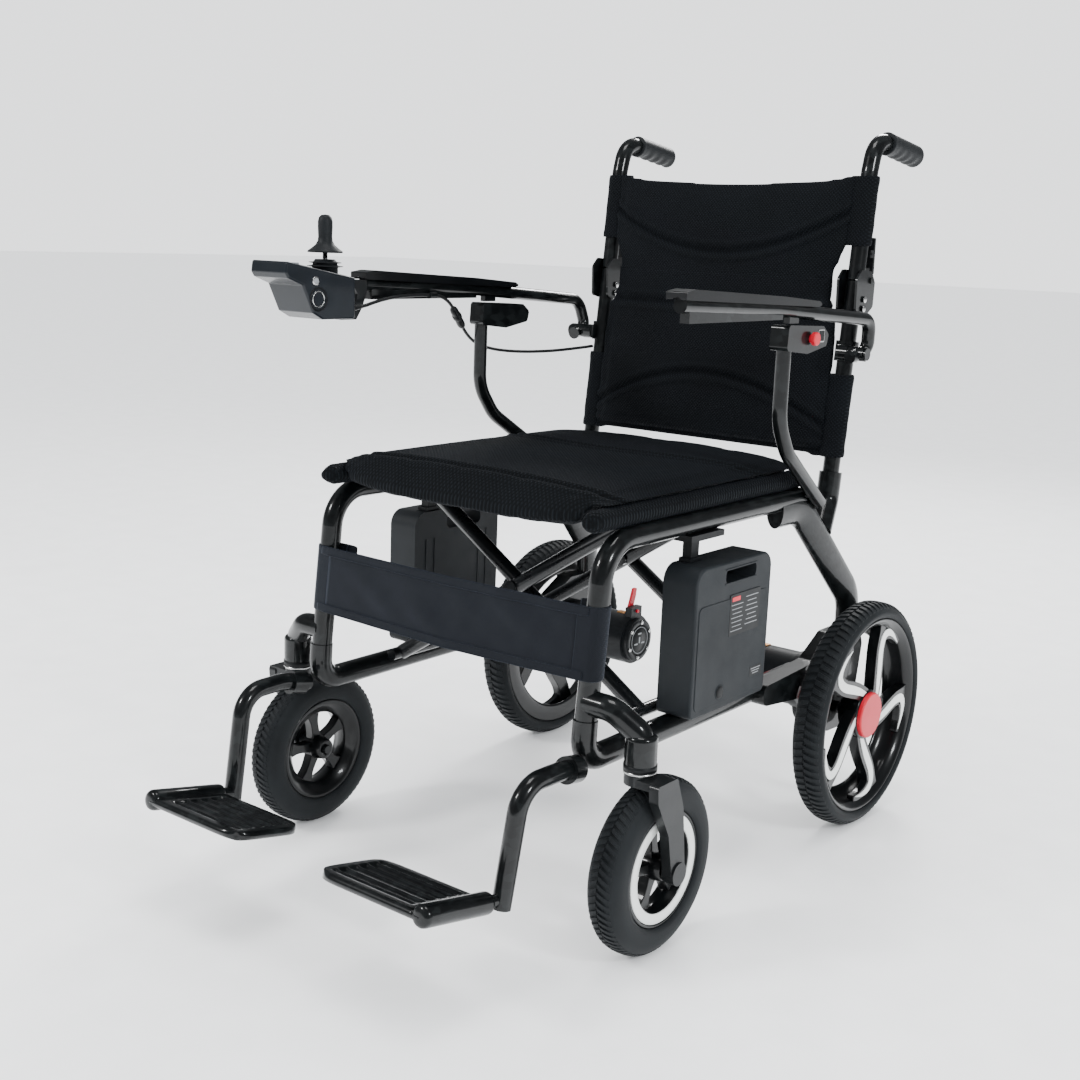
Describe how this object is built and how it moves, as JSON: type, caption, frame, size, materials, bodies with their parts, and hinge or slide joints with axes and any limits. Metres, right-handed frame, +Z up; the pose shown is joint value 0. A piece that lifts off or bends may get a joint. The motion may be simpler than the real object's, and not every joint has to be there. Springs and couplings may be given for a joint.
{
  "type": "power wheelchair",
  "caption": "Folding electric wheelchair with moulded side frames, a cross-brace, rear drive wheels, front casters, fold-down back, flip-up armrests, footplates and a joystick.",
  "frame": {"origin": "on the floor under the middle of the outer box, without the free cord", "axes": "+Z up, -Y forward as the sitter looks, +X to the sitter's left"},
  "size_m": [0.61, 0.9686, 0.9147],
  "materials": {
    "carbon_gloss": "glossy black moulded carbon composite",
    "red_plastic": "glossy red",
    "pad_black": "satin",
    "latch_plastic": "satin",
    "grip_rubber": "matte",
    "fork_black": "gloss black paint",
    "rim_black": "gloss black paint with white accents",
    "tyre": "matte",
    "motor_black": "satin black",
    "battery_plastic": "textured",
    "cell_steel": "sleeved cells",
    "brace_black": "gloss black paint",
    "seat_fabric": "knitted spacer mesh",
    "calf_fabric": "woven",
    "back_fabric": "fine spacer mesh",
    "controller_plastic": "satin",
    "steel": "turned",
    "cable_rubber": "satin",
    "button_grey": "satin"
  },
  "bodies": {
    "left_frame": {"left_side_frame": "carbon_gloss", "left_arm_post": "carbon_gloss", "left_lower_cane": "carbon_gloss", "left_footrest_hanger": "carbon_gloss", "left_battery_catch": "latch_plastic", "left_drive_motor": "motor_black", "calf_panel": "calf_fabric", "back_cover_lower": "back_fabric"},
    "left_button": {"left_release_button": "red_plastic"},
    "left_arm": {"left_armrest": "carbon_gloss", "left_arm_pad": "pad_black"},
    "left_back": {"left_upper_cane": "carbon_gloss", "left_push_grip": "grip_rubber", "back_cover_upper": "back_fabric"},
    "left_latch": {"left_back_latch": "latch_plastic"},
    "left_plate": {"left_footplate": "carbon_gloss"},
    "left_fork": {"left_caster_fork": "fork_black"},
    "left_caster": {"left_caster_rim": "rim_black", "left_caster_tyre": "tyre"},
    "left_wheel": {"left_rear_rim": "rim_black", "left_rear_tyre": "tyre", "left_hub_cap": "red_plastic"},
    "left_clutch": {"left_clutch_lever": "red_plastic"},
    "left_battery": {"left_battery_case": "battery_plastic", "left_battery_cells": "cell_steel"},
    "left_brace": {"left_brace_leg": "brace_black"},
    "right_frame": {"right_side_frame": "carbon_gloss", "right_arm_post": "carbon_gloss", "right_lower_cane": "carbon_gloss", "right_footrest_hanger": "carbon_gloss", "right_battery_catch": "latch_plastic", "right_drive_motor": "motor_black", "cable_tail": "cable_rubber"},
    "right_button": {"right_release_button": "red_plastic"},
    "right_arm": {"right_armrest": "carbon_gloss", "right_arm_pad": "pad_black", "controller_case": "controller_plastic", "controller_bracket": "fork_black", "joystick_boot": "grip_rubber", "joystick_cable": "cable_rubber", "cable_connector": "latch_plastic"},
    "right_back": {"right_upper_cane": "carbon_gloss", "right_push_grip": "grip_rubber"},
    "right_latch": {"right_back_latch": "latch_plastic"},
    "right_plate": {"right_footplate": "carbon_gloss"},
    "right_fork": {"right_caster_fork": "fork_black"},
    "right_caster": {"right_caster_rim": "rim_black", "right_caster_tyre": "tyre"},
    "right_wheel": {"right_rear_rim": "rim_black", "right_rear_tyre": "tyre", "right_hub_cap": "red_plastic"},
    "right_clutch": {"right_clutch_lever": "red_plastic"},
    "right_battery": {"right_battery_case": "battery_plastic", "right_battery_cells": "cell_steel"},
    "right_brace": {"right_brace_leg": "brace_black"},
    "seat": {"seat_cushion": "seat_fabric"},
    "gimbal": {"joystick_gimbal": "steel"},
    "stick": {"joystick_stick": "grip_rubber"},
    "power": {"power_button": "button_grey"},
    "horn": {"horn_button": "button_grey"}
  },
  "joints": [
    {"name": "frame_fold", "type": "slide", "parent": "left_frame", "child": "right_frame", "axis": [1, 0, 0], "range_m": [0, 0.17], "deforming": ["seat_cushion", "calf_panel", "back_cover_lower", "back_cover_upper"]},
    {"name": "left_brace_swing", "type": "hinge", "parent": "left_frame", "child": "left_brace", "pos_m": [0.18, 0.01966, 0.232], "axis": [0, 1, 0], "range_deg": [0, 30.1]},
    {"name": "left_footplate_flip", "type": "hinge", "parent": "left_frame", "child": "left_plate", "pos_m": [0.208, -0.37034, 0.106], "axis": [0, 0.9782, -0.2078], "range_deg": [0, 88.5]},
    {"name": "left_back_fold", "type": "hinge", "parent": "left_frame", "child": "left_back", "pos_m": [0.1985, 0.35247, 0.724], "axis": [-1, 0, 0], "range_deg": [0, 120]},
    {"name": "left_release", "type": "slide", "parent": "left_frame", "child": "left_button", "axis": [-1, 0, 0], "range_m": [0, 0.003], "stiffness_N_per_m": 800},
    {"name": "left_latch_pull", "type": "hinge", "parent": "left_back", "child": "left_latch", "pos_m": [0.1985, 0.36147, 0.758], "axis": [1, 0, 0], "range_deg": [0, 11], "stiffness_Nm_per_rad": 0.4},
    {"name": "left_arm_flip", "type": "hinge", "parent": "left_frame", "child": "left_arm", "pos_m": [0.226, 0.30566, 0.632], "axis": [-1, 0, 0], "range_deg": [0, 95]},
    {"name": "left_caster_swivel", "type": "hinge", "parent": "left_frame", "child": "left_fork", "pos_m": [0.267, -0.20734, 0.23], "axis": [0, 0, 1], "continuous": true},
    {"name": "left_caster_spin", "type": "hinge", "parent": "left_fork", "child": "left_caster", "pos_m": [0.267, -0.17734, 0.1], "axis": [1, 0, 0], "continuous": true},
    {"name": "left_wheel_spin", "type": "hinge", "parent": "left_frame", "child": "left_wheel", "pos_m": [0.262, 0.31966, 0.1525], "axis": [1, 0, 0], "continuous": true},
    {"name": "left_clutch_turn", "type": "hinge", "parent": "left_frame", "child": "left_clutch", "pos_m": [0.105, 0.30566, 0.227], "axis": [1, 0, 0], "range_deg": [-60, 0]},
    {"name": "left_battery_slide", "type": "slide", "parent": "left_frame", "child": "left_battery", "axis": [1, 0, 0], "range_m": [0, 0.12]},
    {"name": "right_brace_swing", "type": "hinge", "parent": "right_frame", "child": "right_brace", "pos_m": [-0.18, 0.01966, 0.232], "axis": [0, 1, 0], "range_deg": [-30.1, 0]},
    {"name": "right_footplate_flip", "type": "hinge", "parent": "right_frame", "child": "right_plate", "pos_m": [-0.208, -0.37034, 0.106], "axis": [0, -0.9782, 0.2078], "range_deg": [0, 88.5]},
    {"name": "right_back_fold", "type": "hinge", "parent": "right_frame", "child": "right_back", "pos_m": [-0.1985, 0.35247, 0.724], "axis": [-1, 0, 0], "range_deg": [0, 120]},
    {"name": "right_release", "type": "slide", "parent": "right_frame", "child": "right_button", "axis": [1, 0, 0], "range_m": [0, 0.003], "stiffness_N_per_m": 800},
    {"name": "right_latch_pull", "type": "hinge", "parent": "right_back", "child": "right_latch", "pos_m": [-0.1985, 0.36147, 0.758], "axis": [1, 0, 0], "range_deg": [0, 11], "stiffness_Nm_per_rad": 0.4},
    {"name": "right_arm_flip", "type": "hinge", "parent": "right_frame", "child": "right_arm", "pos_m": [-0.226, 0.30566, 0.632], "axis": [-1, 0, 0], "range_deg": [0, 95]},
    {"name": "right_caster_swivel", "type": "hinge", "parent": "right_frame", "child": "right_fork", "pos_m": [-0.267, -0.20734, 0.23], "axis": [0, 0, 1], "continuous": true},
    {"name": "right_caster_spin", "type": "hinge", "parent": "right_fork", "child": "right_caster", "pos_m": [-0.267, -0.17734, 0.1], "axis": [1, 0, 0], "continuous": true},
    {"name": "right_wheel_spin", "type": "hinge", "parent": "right_frame", "child": "right_wheel", "pos_m": [-0.262, 0.31966, 0.1525], "axis": [1, 0, 0], "continuous": true},
    {"name": "right_clutch_turn", "type": "hinge", "parent": "right_frame", "child": "right_clutch", "pos_m": [-0.105, 0.30566, 0.227], "axis": [1, 0, 0], "range_deg": [-60, 0]},
    {"name": "right_battery_slide", "type": "slide", "parent": "right_frame", "child": "right_battery", "axis": [-1, 0, 0], "range_m": [0, 0.12]},
    {"name": "seat_rise", "type": "slide", "parent": "left_frame", "child": "seat", "axis": [0.4794, 0, 0.8776], "range_m": [0, 0.178]},
    {"name": "joystick_pitch", "type": "hinge", "parent": "right_arm", "child": "gimbal", "pos_m": [-0.231, -0.19734, 0.709], "axis": [1, 0, 0], "range_deg": [-15, 15], "stiffness_Nm_per_rad": 0.3},
    {"name": "joystick_roll", "type": "hinge", "parent": "gimbal", "child": "stick", "pos_m": [-0.231, -0.19734, 0.709], "axis": [0, 1, 0], "range_deg": [-15, 15], "stiffness_Nm_per_rad": 0.3},
    {"name": "power_press", "type": "slide", "parent": "right_arm", "child": "power", "axis": [0, 0, -1], "range_m": [0, 0.0015], "stiffness_N_per_m": 500},
    {"name": "horn_press", "type": "slide", "parent": "right_arm", "child": "horn", "axis": [0, 0, -1], "range_m": [0, 0.0015], "stiffness_N_per_m": 500}
  ],
  "couplings": [
    {"joint": "left_brace_swing", "follows": "frame_fold", "rad_per_m": 3.08},
    {"joint": "left_footplate_flip", "follows": "frame_fold", "rad_per_m": 9.03},
    {"joint": "right_brace_swing", "follows": "frame_fold", "rad_per_m": -3.08},
    {"joint": "right_footplate_flip", "follows": "frame_fold", "rad_per_m": 9.03},
    {"joint": "right_back_fold", "follows": "left_back_fold", "ratio": 1},
    {"joint": "seat_rise", "follows": "frame_fold", "ratio": 1.043}
  ]
}
